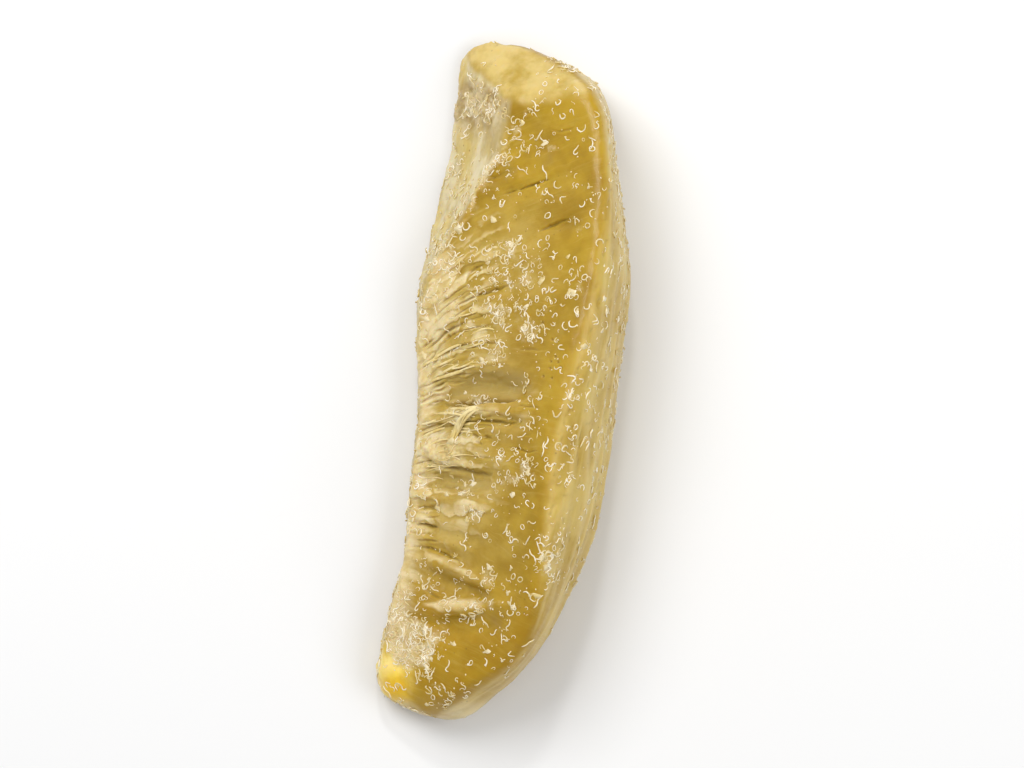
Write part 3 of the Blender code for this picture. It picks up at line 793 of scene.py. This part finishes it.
def flesh_material():
    """Golden flesh with pale fibres, darker in its tears, paler at the rind and the core."""
    material, tree = new_material("roasted_flesh")
    place = node(tree, "ShaderNodeTexCoord").outputs["Object"]
    fibre = stored(tree, "fibre", "Vector")
    torn = stored(tree, "torn")

    # Close golden flesh, deeper at the blossom end, with its fibres showing, and the torn flesh by the core.
    long_fibres = cloud(stretched(fibre, (1.0, 0.08, 1.0)), 0.8, 4.0, 0.6)
    fine_fibres = cloud(stretched(fibre, (1.0, 0.05, 1.0)), 2.8, 2.0)
    colour = mottled(place, 60.0, (0.345, 0.200, 0.005), (0.470, 0.296, 0.012))
    shaded = share_of(cloud(place, 110.0, 4.0, 0.6), 0.50, 0.72)
    colour = tinted(colour, shaded, 0.50, (0.350, 0.222, 0.018))
    colour = tinted(colour, stored(tree, "blossom_end"), 0.45, (0.445, 0.250, 0.005))
    hazy = share_of(cloud(place, 95.0, 5.0, 0.65), 0.52, 0.74)
    colour = tinted(colour, hazy, 0.26, (0.57, 0.41, 0.08))
    colour = tinted(colour, share_of(long_fibres, 0.50, 0.72), 0.18, (0.60, 0.43, 0.09))
    colour = tinted(colour, share_of(fine_fibres, 0.60, 0.78), 0.24, (0.68, 0.50, 0.14))
    torn_gold = mottled(place, 120.0, (0.455, 0.302, 0.042), (0.575, 0.412, 0.115))
    colour = tinted(colour, torn, 0.85, torn_gold)
    colour = tinted(colour, stored(tree, "smooth"), 0.62, (0.45, 0.32, 0.085))

    # The pared rind side, with scrape marks along it. Its blossom end is deeper gold, partly its own colour
    # and partly painted shade where that side turns from the light, and pale at its nose.
    rind_tone = mottled(place, 70.0, (0.49, 0.32, 0.045), (0.62, 0.445, 0.10))
    # Partly painted shade: the rind at the blossom end turns away from the light and is coloured darker gold
    # for it.
    blossom_tone_and_shade = mottled(place, 90.0, (0.41, 0.240, 0.005), (0.54, 0.345, 0.020))
    rind_tone = blend(stored(tree, "blossom_end"), rind_tone, blossom_tone_and_shade)
    ahead = node(tree, "ShaderNodeSeparateXYZ", {"Vector": place}).outputs["Y"]
    nose = share_of(ahead, NOSE_FROM, NOSE_TO)
    nose_tone = mottled(place, 120.0, (0.60, 0.45, 0.20), (0.76, 0.62, 0.34))
    rind_tone = blend(nose, rind_tone, nose_tone)
    scrapes = cloud(stretched(place, (1.0, 0.12, 1.0)), 330.0, 4.0, 0.6)
    rind_tone = tinted(rind_tone, share_of(scrapes, 0.48, 0.68), 0.32, (0.72, 0.55, 0.18))
    greenish = share_of(cloud(place, 75.0, 3.0), 0.54, 0.70)
    rind_tone = tinted(rind_tone, greenish, 0.20, (0.50, 0.41, 0.10))
    rind_tone = tinted(rind_tone, stored(tree, "pared_edge"), 0.32, (0.80, 0.65, 0.30))
    colour = blend(stored(tree, "rind"), colour, rind_tone)

    # The core strip with its crust, the stem cut, and the bright tip of the blossom end.
    along = stretched(place, (1.5, 0.45, 1.0))
    strip_tone = mottled(along, 150.0, (0.465, 0.345, 0.12), (0.68, 0.585, 0.345))
    streak = share_of(cloud(stretched(place, (2.4, 0.6, 1.0)), 130.0, 4.0), 0.47, 0.62)
    strip_tone = tinted(strip_tone, streak, 0.58, (0.64, 0.47, 0.11))
    colour = blend(stored(tree, "strip"), colour, strip_tone)
    crust_tone = mottled(place, 300.0, (0.34, 0.22, 0.07), (0.64, 0.52, 0.30))
    colour = tinted(colour, stored(tree, "crust"), 0.8, crust_tone)
    cut_tone = mottled(place, 95.0, (0.47, 0.315, 0.042), (0.67, 0.505, 0.17))
    colour = blend(stored(tree, "stem_cut"), colour, cut_tone)
    tip_tone = mottled(place, 140.0, (0.76, 0.56, 0.10), (0.95, 0.80, 0.36))
    tip = plus(stored(tree, "tip"), times(plus(long_fibres, -0.5), 0.5))
    colour = blend(share_of(tip, 0.1, 0.9), colour, tip_tone)
    deep_tone = mottled(place, 160.0, (0.80, 0.50, 0.010), (0.93, 0.63, 0.040))
    colour = blend(stored(tree, "tip_deep"), colour, deep_tone)

    # Pale torn fibres, painted shade in the hollows, slits, pocket floor and rind pits, and a few brown
    # specks.
    fibrous = times(plus(long_fibres, -0.5), 0.7)
    pale = share_of(plus(stored(tree, "pale"), fibrous), 0.12, 0.80)
    pale_tone = mottled(place, 220.0, (0.66, 0.50, 0.20), (0.82, 0.69, 0.41))
    colour = tinted(colour, pale, 0.85, pale_tone)
    # Painted shade: the more hollow the surface is here, the darker the flesh is coloured.
    hollow_shade = share_of(stored(tree, "hollow"), 0.20, 0.95)
    colour = tinted(colour, hollow_shade, 0.40, (0.36, 0.225, 0.030))
    # Painted shade in the tears, slits, pocket floor and rind pits, darker the deeper they go.
    deep = share_of(stored(tree, "deep"), 0.15, 0.95)
    colour = tinted(colour, deep, 0.70, (0.26, 0.155, 0.015))
    dots = node(tree, "ShaderNodeTexVoronoi", {"Vector": place, "Scale": 420.0}).outputs["Distance"]
    here = share_of(cloud(place, 160.0), 0.54, 0.62)
    speck = times(share_of(dots, 0.16, 0.06), here)
    colour = tinted(colour, speck, 0.5, (0.22, 0.12, 0.015))

    # A bloom of fine frost, with thin winding lines in it.
    uneven = times(plus(cloud(place, 330.0, 4.0, 0.65), -0.5), 1.3)
    iced = share_of(plus(stored(tree, "frost"), uneven), 0.41, 1.04)
    off_middle = plus(cloud(place, 520.0, 1.0, 0.4), -0.5)
    off = node(tree, "ShaderNodeMath", {0: off_middle}, operation="ABSOLUTE")
    lines = share_of(off, 0.055, 0.012)
    bloom = times(iced, plus(times(lines, 0.32), 0.62))
    bloom_tone = mottled(place, 400.0, (0.62, 0.48, 0.23), (0.80, 0.69, 0.45))
    colour = blend(bloom, colour, bloom_tone)

    rough = plus(times(bloom, 0.25), times(fine_fibres, 0.25))
    fibre_relief = times(fine_fibres, plus(times(torn, 0.5), 0.10))
    relief = plus(fibre_relief, times(cloud(place, 1400.0, 3.0), 0.25))
    show_moist_surface(tree, plus(relief, bloom), 0.25, 0.5, {
        "Base Color": colour, "Roughness": plus(rough, 0.28), "IOR": 1.36, "Subsurface Weight": 0.55,
        "Subsurface Radius": (1.0, 0.62, 0.20), "Subsurface Scale": 4.0 * MM, **MOIST_COAT,
    })
    return material


def add_piece(name, mesh):
    """Shows a finished mesh as a piece of the wedge."""
    piece = in_scene(name, mesh)
    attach(piece, "root")
    return piece


wedge_mesh = evenly_meshed(frame["nodes"]["breadfruit_wedge"])
shape_flesh(wedge_mesh)
wedge_mesh.materials.clear()
wedge_mesh.materials.append(flesh_material())
wedge_mesh.shade_smooth()
flesh = add_piece("wedge_flesh", wedge_mesh)
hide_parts("breadfruit_wedge")

# The loose fibres.
# Where the flesh has torn, single fibres and thin ribbons of them have come away from it. They lie along its
# slits and folds, or stand a little clear of them, and are paler than the flesh under them.
RIBBONS, THREADS, LOOSE_SEED = 30, 26, 17
LOOSE_STEPS = 10
LOOSE_MIDDLE_MM, LOOSE_SPREAD_MM = -12.0, 9.5

# No loose fibre lies where the flesh is lower than this.
LOWEST_MM = 8.0

# A stray bundle lies across the others: the places that it runs through, its fibres and how wide it is.
STRAY_MM = ((-7.6, -7.2), (-10.2, -8.8), (-12.2, -11.8), (-13.4, -15.2), (-15.2, -18.8))
STRAY_FIBRES, STRAY_WIDE_MM = 9, 1.5


def surface_finder(mesh):
    """A function that gives the height of the flesh, in mm, at a place in plan."""
    faces = [tuple(face.vertices) for face in mesh.polygons]
    surface = BVHTree.FromPolygons(read(mesh.vertices, "co").tolist(), faces)

    def height_at(x, y):
        hit = surface.ray_cast(Vector((x * MM, y * MM, 200 * MM)), Vector((0, 0, -1)))[0]
        return hit.z / MM if hit else None

    return height_at


def over_pocket(x, y):
    """Whether a line of places passes over the pocket."""
    off_x, off_y = x - POCKET_AT_MM[0], y - POCKET_AT_MM[1]
    clear_x, clear_y = POCKET_CLEAR_MM
    return np.hypot(off_x / clear_x, (off_y - POCKET_SLOPE * off_x) / clear_y).min() < 1


def loose_lines(height_at):
    """The lines that the loose fibres follow, and how thick each is along its length."""
    rng = np.random.default_rng(LOOSE_SEED)
    share = np.linspace(0, 1, LOOSE_STEPS)
    arch = np.sin(math.pi * share)
    points, chains, thick = [], [], []

    def add_line(x, y, clear, widest):
        under = [height_at(*place) for place in zip(x, y)]
        if over_pocket(x, y) or None in under or min(under) < LOWEST_MM:
            return
        level = 0.5 * np.array(under) + 0.5 * np.interp(share, (0, 1), (under[0], under[-1]))
        z = np.maximum(level, np.array(under) - 0.1) + clear * arch - 0.25 * (1 - arch)
        first = len(points)
        points.extend((np.stack([x, y, z], axis=1) * MM).tolist())
        chains.extend((first + step, first + step + 1) for step in range(LOOSE_STEPS - 1))
        taper = np.interp(share, (0, 0.2, 0.8, 1), (0.35, 1, 1, 0.25)) * rng.uniform(0.8, 1.15, LOOSE_STEPS)
        thick.extend((widest * MM * taper).tolist())

    for number in range(RIBBONS + THREADS):
        root = rng.normal(LOOSE_MIDDLE_MM, LOOSE_SPREAD_MM)
        out = rng.uniform(0.5, 13.0) + rng.uniform(4.0, 9.5) * share
        sway = rng.uniform(-1.6, 1.6) * share + rng.uniform(-0.9, 0.9) * arch
        widest = rng.uniform(0.22, 0.50) if number < RIBBONS else rng.uniform(0.09, 0.17)
        add_line(CORE_X_MM + out, fibre_line(root + sway, out), rng.uniform(0.05, 0.45), widest)

    bend, along = curve_through(STRAY_MM)
    bend = np.stack([np.interp(share, along, bend[:, k]) for k in (0, 1)], axis=1)
    ahead = np.gradient(bend, axis=0)
    aside = np.stack([-ahead[:, 1], ahead[:, 0]], axis=1) / np.linalg.norm(ahead, axis=1)[:, None]
    for fibre in range(STRAY_FIBRES):
        swing = np.sin(2 * math.pi * (fibre / STRAY_FIBRES + 0.6 * share)) * STRAY_WIDE_MM / 2
        x, y = (bend + aside * swing[:, None] * (0.5 + 0.5 * arch)[:, None]).T
        add_line(x, y, rng.uniform(0.3, 1.0), rng.uniform(0.22, 0.38))
    mesh = bpy.data.meshes.new("loose_lines")
    mesh.from_pydata(points, chains, [])
    keep(mesh, half_wide=np.array(thick))
    return mesh


def end_in_mesh(tree, instances, finish):
    """Ends a tree of geometry nodes in a plain mesh with its material."""
    solid = node(tree, "GeometryNodeRealizeInstances", {"Geometry": instances})
    finished = node(tree, "GeometryNodeSetMaterial", {"Geometry": solid, "Material": finish})
    node(tree, "NodeGroupOutput", {"Geometry": finished})


def drawn_out_tree():
    """Draws a flattened round bar along each line, as wide as the line says."""
    takes = {"Geometry": "Geometry", "Flatness": "Float", "Finish": "Material"}
    tree, given = new_group("drawn_out", "GeometryNodeTree", takes, {"Geometry": "Geometry"})
    line = node(tree, "GeometryNodeMeshToCurve", {"Mesh": given["Geometry"]})
    level = node(tree, "GeometryNodeSetCurveNormal", {"Curve": line}, mode="Z_UP")
    circle = node(tree, "GeometryNodeCurvePrimitiveCircle", {"Resolution": 6, "Radius": 1.0})
    squeeze = node(tree, "ShaderNodeCombineXYZ", {"X": 1.0, "Y": given["Flatness"], "Z": 1.0})
    flat = node(tree, "GeometryNodeTransform", {"Geometry": circle, "Scale": squeeze})
    wide = node(tree, "GeometryNodeInputNamedAttribute", {"Name": "half_wide"}).outputs["Attribute"]
    ends = {"Curve": level, "Profile Curve": flat, "Scale": wide, "Fill Caps": True}
    bar = node(tree, "GeometryNodeCurveToMesh", ends)
    smooth = node(tree, "GeometryNodeSetShadeSmooth", {"Geometry": bar})
    end_in_mesh(tree, smooth, given["Finish"])
    return tree


def grown(name, mesh, tree, **given):
    """What a tree of geometry nodes makes of a mesh, as a plain mesh."""
    host = in_scene(name, mesh)
    modifier = host.modifiers.new("growth", "NODES")
    modifier.node_group = tree
    for item in tree.interface.items_tree:
        key = item.name.lower().replace(" ", "_")
        if item.in_out == "INPUT" and key in given:
            modifier[item.identifier] = given[key]
    made = plain_mesh(host)
    made.name = name
    return made


def loose_fibre_material():
    """Pale, moist fibre."""
    material, tree = new_material("loose_fibre")
    place = node(tree, "ShaderNodeTexCoord").outputs["Object"]
    colour = mottled(place, 300.0, (0.74, 0.56, 0.19), (0.90, 0.75, 0.39))
    looks = {"Base Color": colour, "Roughness": 0.34, "IOR": 1.36, **MOIST_COAT}
    show_moist_surface(tree, cloud(place, 2200.0), 0.15, 0.4, looks)
    return material


loose_fibres = grown(
    "loose_fibres", loose_lines(surface_finder(wedge_mesh)), drawn_out_tree(), flatness=0.30,
    finish=loose_fibre_material(),
)
add_piece("loose_fibres", loose_fibres)

# The frost.
# Ice that has grown on the frozen flesh: thin curled crystals, rings where a drop froze, flat flakes and a
# dust of fine grains. It is thickest at the blossom end, along the core and down the middle of the face.
CURL_TURNS = (
    # how many degrees each stretch of the crystal turns through
    (210,), (260,), (0, 200), (150, -150), (190, -60, -130), (0, 130, 0), (300,), (40, -60), (170, 0, 20),
    (110, 130, -170), (0, 240, 0, 60), (-200, 90), (0, 90, 90, 0), (0, 260, 0),
)
CURL_LONG_MM, CURL_THICK_MM, CURL_STEPS, CURL_SIDES = 3.6, 0.42, 8, 4
RING_WIDE_MM, RING_THICK_MM, RING_STEPS, RING_SIDES = 1.5, 0.32, 10, 4
FLAKE_WIDE_MM, FLAKE_THICK_MM, FLAKE_CORNERS = 2.8, 0.12, 11
GRAIN_WIDE_MM = 0.5
SHAPE_SEED = 8

# How far, in radians, a piece of ice may tip from the flesh that it lies on, and the seeds for how it lies.
MOST_TIPPED = 0.25
TIP_SEED, FIRST_SEED = 77, 3


def rod(path, radii, sides, closed=False):
    """The points and faces of a round bar along a path that lies nearly flat."""
    path = np.array(path)
    ahead = np.roll(path, -1, axis=0) - np.roll(path, 1, axis=0)
    if not closed:
        ahead[0], ahead[-1] = path[1] - path[0], path[-1] - path[-2]
    ahead /= np.linalg.norm(ahead, axis=1)[:, None]
    across = np.cross(ahead, (0, 0, 1))
    across /= np.linalg.norm(across, axis=1)[:, None]
    up = np.cross(across, ahead)
    turn = np.linspace(0, 2 * math.pi, sides, endpoint=False)
    rings = path[:, None] + np.array(radii)[:, None, None] * (
        np.cos(turn)[None, :, None] * across[:, None] + np.sin(turn)[None, :, None] * up[:, None]
    )
    count = len(path)
    faces = [
        (a * sides + k, b * sides + k, b * sides + (k + 1) % sides, a * sides + (k + 1) % sides)
        for a, b in ((i, (i + 1) % count) for i in range(count if closed else count - 1))
        for k in range(sides)
    ]
    if not closed:
        faces.append(tuple(range(sides)))
        faces.append(tuple(range(count * sides - 1, (count - 1) * sides - 1, -1)))
    return rings.reshape(-1, 3), faces


def curl(turns, rng):
    """A thin crystal that curls as it grows, with its ends drawn out."""
    stretches = np.linspace(0, len(turns), CURL_STEPS, endpoint=False).astype(int)
    share = len(turns) / CURL_STEPS
    heading = np.radians(np.cumsum([turns[s] * share for s in stretches]) + rng.uniform(-15, 15, CURL_STEPS))
    step = CURL_LONG_MM / CURL_STEPS
    path = np.zeros((CURL_STEPS + 1, 3))
    path[1:, 0] = np.cumsum(np.cos(heading)) * step
    path[1:, 1] = np.cumsum(np.sin(heading)) * step
    path[:, 2] = np.cumsum(rng.uniform(-0.08, 0.12, CURL_STEPS + 1))
    path -= path.mean(axis=0)
    taper = np.interp(np.linspace(0, 1, CURL_STEPS + 1), (0, 0.2, 0.8, 1), (0.55, 1, 1, 0.55))
    return rod(path, CURL_THICK_MM / 2 * taper * rng.uniform(0.85, 1.15, CURL_STEPS + 1), CURL_SIDES)


def ring(rng):
    """A drop's frozen rim."""
    turn = np.linspace(0, 2 * math.pi, RING_STEPS, endpoint=False)
    wide = RING_WIDE_MM / 2 * rng.uniform(0.9, 1.1, RING_STEPS)
    path = np.stack([np.cos(turn) * wide, np.sin(turn) * wide * 0.75, np.zeros(RING_STEPS)], axis=1)
    return rod(path, RING_THICK_MM / 2 * rng.uniform(0.8, 1.2, RING_STEPS), RING_SIDES, closed=True)


def flake(rng):
    """A thin plate of ice with ragged points."""
    corners = FLAKE_CORNERS
    turn = np.linspace(0, 2 * math.pi, corners, endpoint=False) + rng.uniform(-0.2, 0.2, corners)
    wide = FLAKE_WIDE_MM / 2 * rng.uniform(0.35, 1.2, corners)
    plan = np.stack([np.cos(turn) * wide * 1.2, np.sin(turn) * wide], axis=1)
    lift = rng.uniform(-0.04, 0.04, corners)
    low = np.column_stack([plan, lift - FLAKE_THICK_MM / 2])
    high = np.column_stack([plan * 0.93, lift + FLAKE_THICK_MM / 2])
    faces = [(i, (i + 1) % corners, corners + (i + 1) % corners, corners + i) for i in range(corners)]
    faces += [tuple(range(corners - 1, -1, -1)), tuple(range(corners, 2 * corners))]
    return np.vstack([low, high]), faces


def ice_grain(rng):
    """A small lump of ice with a few faces."""
    bm = bmesh.new()
    bmesh.ops.create_icosphere(bm, subdivisions=1, radius=GRAIN_WIDE_MM / 2)
    points = np.array([vert.co for vert in bm.verts])
    points = points * rng.uniform(0.7, 1.3, (len(points), 1)) * (1.2, 0.9, 0.8)
    faces = [tuple(vert.index for vert in face.verts) for face in bm.faces]
    bm.free()
    return points, faces


def shape_set(name, makes, whiteness):
    """A collection of small shapes for the frost to pick from. Each point stores how far it faces up, so that
    their crests are coloured whiter than their sides: partly the ice's own white, partly painted highlight.
    """
    shapes = bpy.data.collections.new(name)
    for number, (points, faces) in enumerate(makes):
        mesh = bpy.data.meshes.new(f"{name}_{number:02d}")
        mesh.from_pydata((np.array(points) * MM).tolist(), [], faces)
        mesh.shade_smooth()
        # Painted highlight and painted light through the ice: the more a point faces up, the whiter the frost
        # colours it.
        keep(mesh, crest=whiteness * (0.5 + 0.5 * read(mesh.vertices, "normal")[:, 2]))
        shapes.objects.link(bpy.data.objects.new(mesh.name, mesh))
    return shapes


def settling_tree():
    """Scatters shapes over the flesh where frost is thick, each lying on it with its own turn and size."""
    takes = {
        "Geometry": "Geometry", "Shapes": "Collection", "Per Square Metre": "Float", "Gathering": "Float",
        "Smallest": "Float", "Largest": "Float", "Lift": "Float", "Seed": "Int", "Finish": "Material",
    }
    tree, given = new_group("settled_frost", "GeometryNodeTree", takes, {"Geometry": "Geometry"})
    cover = node(tree, "GeometryNodeInputNamedAttribute", {"Name": "frost"}).outputs["Attribute"]
    gathered = node(tree, "ShaderNodeMath", {0: cover, 1: given["Gathering"]}, operation="POWER")
    crowd = times(gathered, given["Per Square Metre"])
    sown = {"Mesh": given["Geometry"], "Density": crowd, "Seed": given["Seed"]}
    spots = node(tree, "GeometryNodeDistributePointsOnFaces", sown)
    turn = node(tree, "FunctionNodeRandomValue", {2: 0.0, 3: 2 * math.pi, 8: given["Seed"]}).outputs[1]
    spin = node(tree, "FunctionNodeAxisAngleToRotation", {"Axis": (0.0, 0.0, 1.0), "Angle": turn})
    ends = {0: (-MOST_TIPPED, -MOST_TIPPED, 0), 1: (MOST_TIPPED, MOST_TIPPED, 0), 8: TIP_SEED}
    tip = node(tree, "FunctionNodeRandomValue", ends, data_type="FLOAT_VECTOR")
    tilt = node(tree, "FunctionNodeEulerToRotation", {0: tip})
    turned = spots.outputs["Rotation"]
    for by in (tilt, spin):
        sockets = {0: turned, 1: by}
        turned = node(tree, "FunctionNodeRotateRotation", sockets, rotation_space="LOCAL")
    sizes = {2: given["Smallest"], 3: given["Largest"], 8: given["Seed"]}
    size = node(tree, "FunctionNodeRandomValue", sizes).outputs[1]
    picks = {"Collection": given["Shapes"], "Separate Children": True, "Reset Children": True}
    placed = node(tree, "GeometryNodeInstanceOnPoints", {
        "Points": spots, "Instance": node(tree, "GeometryNodeCollectionInfo", picks), "Pick Instance": True,
        "Rotation": turned, "Scale": size,
    })
    away = node(tree, "ShaderNodeCombineXYZ", {"Z": given["Lift"]})
    lifted = node(tree, "GeometryNodeTranslateInstances", {"Instances": placed, "Translation": away})
    end_in_mesh(tree, lifted, given["Finish"])
    return tree


def frost_material():
    """Cloudy ice with a wet gloss. Its crests are white, partly the ice's own cloudy white and partly painted
    highlight, and its sides take the tones of the flesh beneath, as painted light coming through the clear
    ice.
    """
    material, tree = new_material("frost")
    place = node(tree, "ShaderNodeTexCoord").outputs["Object"]
    crest = share_of(stored(tree, "crest"), 0.45, 0.90)
    thick = share_of(stored(tree, "frost"), 0.25, 0.75)
    # Painted light through the ice: its sides take the flesh's tones, paler on the rind and creamier where
    # the frost is thick.
    side = blend(stored(tree, "rind"), (0.66, 0.49, 0.15), (0.84, 0.70, 0.40))
    side = blend(thick, side, (0.70, 0.56, 0.29))
    white_and_highlight = mottled(place, 330.0, (0.70, 0.57, 0.27), (0.98, 0.93, 0.78))
    show_moist_surface(tree, cloud(place, 3000.0), 0.1, 0.3, {
        "Base Color": blend(crest, side, white_and_highlight), "Roughness": 0.25, "IOR": 1.31,
        "Coat Weight": 0.6, "Coat Roughness": 0.06, "Coat IOR": 1.31,
    })
    return material


shape_rng = np.random.default_rng(SHAPE_SEED)
frost_finish = frost_material()
settled_frost = settling_tree()
FROST_LAYERS = (
    # name, shapes, how many a square metre where it is thickest, gathering, smallest, largest, lift in mm,
    # whiteness
    ("frost_curls", [curl(turns, shape_rng) for turns in CURL_TURNS], 600000, 1.15, 0.38, 1.25, 0.10, 1.0),
    ("frost_rings", [ring(shape_rng) for _ in range(4)], 34000, 0.6, 0.5, 1.3, 0.05, 1.0),
    ("frost_flakes", [flake(shape_rng) for _ in range(6)], 50000, 1.3, 0.4, 1.0, 0.02, 0.74),
    ("frost_grains", [ice_grain(shape_rng) for _ in range(5)], 950000, 1.9, 0.5, 1.2, 0.02, 0.85),
)
for layer, (name, makes, crowd, gathering, smallest, largest, lift, whiteness) in enumerate(FROST_LAYERS):
    shapes = shape_set(f"{name}_shapes", makes, whiteness)
    ice = grown(
        name, wedge_mesh, settled_frost, shapes=shapes, per_square_metre=float(crowd), gathering=gathering,
        smallest=smallest, largest=largest, lift=lift * MM, seed=FIRST_SEED + layer, finish=frost_finish,
    )
    for shape in list(shapes.objects):
        bpy.data.objects.remove(shape)
    bpy.data.collections.remove(shapes)
    # Thin ice lets light through, so it casts hardly any shadow.
    add_piece(name, ice).visible_shadow = False
